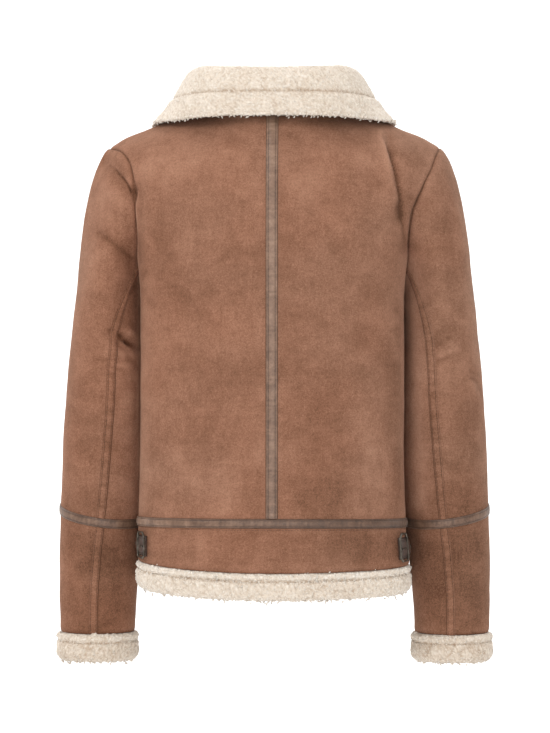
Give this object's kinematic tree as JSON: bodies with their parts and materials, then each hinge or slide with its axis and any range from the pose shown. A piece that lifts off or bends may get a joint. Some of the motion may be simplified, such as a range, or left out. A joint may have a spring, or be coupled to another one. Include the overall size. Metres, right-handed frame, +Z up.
{
  "type": "shearling jacket",
  "caption": "Short brown suede-faced jacket lined with cream pile, filled out as worn, with a folded pile collar, pile hem and cuffs, leather strips and a front zip.",
  "frame": {"origin": "middle of the neck base, level with the points where the shoulder seams meet the neck", "axes": "+X towards the wearer's right, +Y the way the wearer faces, +Z up; the back of the jacket faces -Y"},
  "size_m": [0.5518, 0.273, 0.7357],
  "materials": {
    "suede": "brushed matt suede",
    "leather": "soft satin leather binding",
    "dark_leather": "satin dark brown leather",
    "pile": "curly matt pile",
    "zip_tape": "woven matt tape",
    "metal": "satin antique metal"
  },
  "bodies": {
    "jacket": {"back_left": "suede", "back_right": "suede", "back_strip": "leather", "collar": "pile", "cuff_left": "pile", "cuff_right": "pile", "forearm_seam_left": "suede", "forearm_seam_right": "suede", "forearm_top_left": "suede", "forearm_top_right": "suede", "forearm_under_left": "suede", "forearm_under_right": "suede", "front_left": "suede", "front_right": "suede", "hem": "pile", "side_buckle_left": "metal", "side_buckle_right": "metal", "side_strap_left": "dark_leather", "side_strap_right": "dark_leather", "sleeve_seam_left": "suede", "sleeve_seam_right": "suede", "sleeve_strip_left": "leather", "sleeve_strip_right": "leather", "sleeve_top_left": "suede", "sleeve_top_right": "suede", "sleeve_under_left": "suede", "sleeve_under_right": "suede", "waist_strip_back": "leather", "waist_strip_left": "leather", "waist_strip_right": "leather", "waistband_back": "suede", "waistband_left": "suede", "waistband_right": "suede", "zip_chain": "metal", "zip_slider": "metal", "zip_tape_left": "zip_tape", "zip_tape_right": "zip_tape"},
    "pull_tab": {"zip_pull": "metal"}
  },
  "joints": [
    {"name": "pull_swing", "type": "hinge", "parent": "jacket", "child": "pull_tab", "pos_m": [0, 0.09516, -0.08407], "axis": [1, 0, 0], "range_deg": [0, 140]}
  ]
}
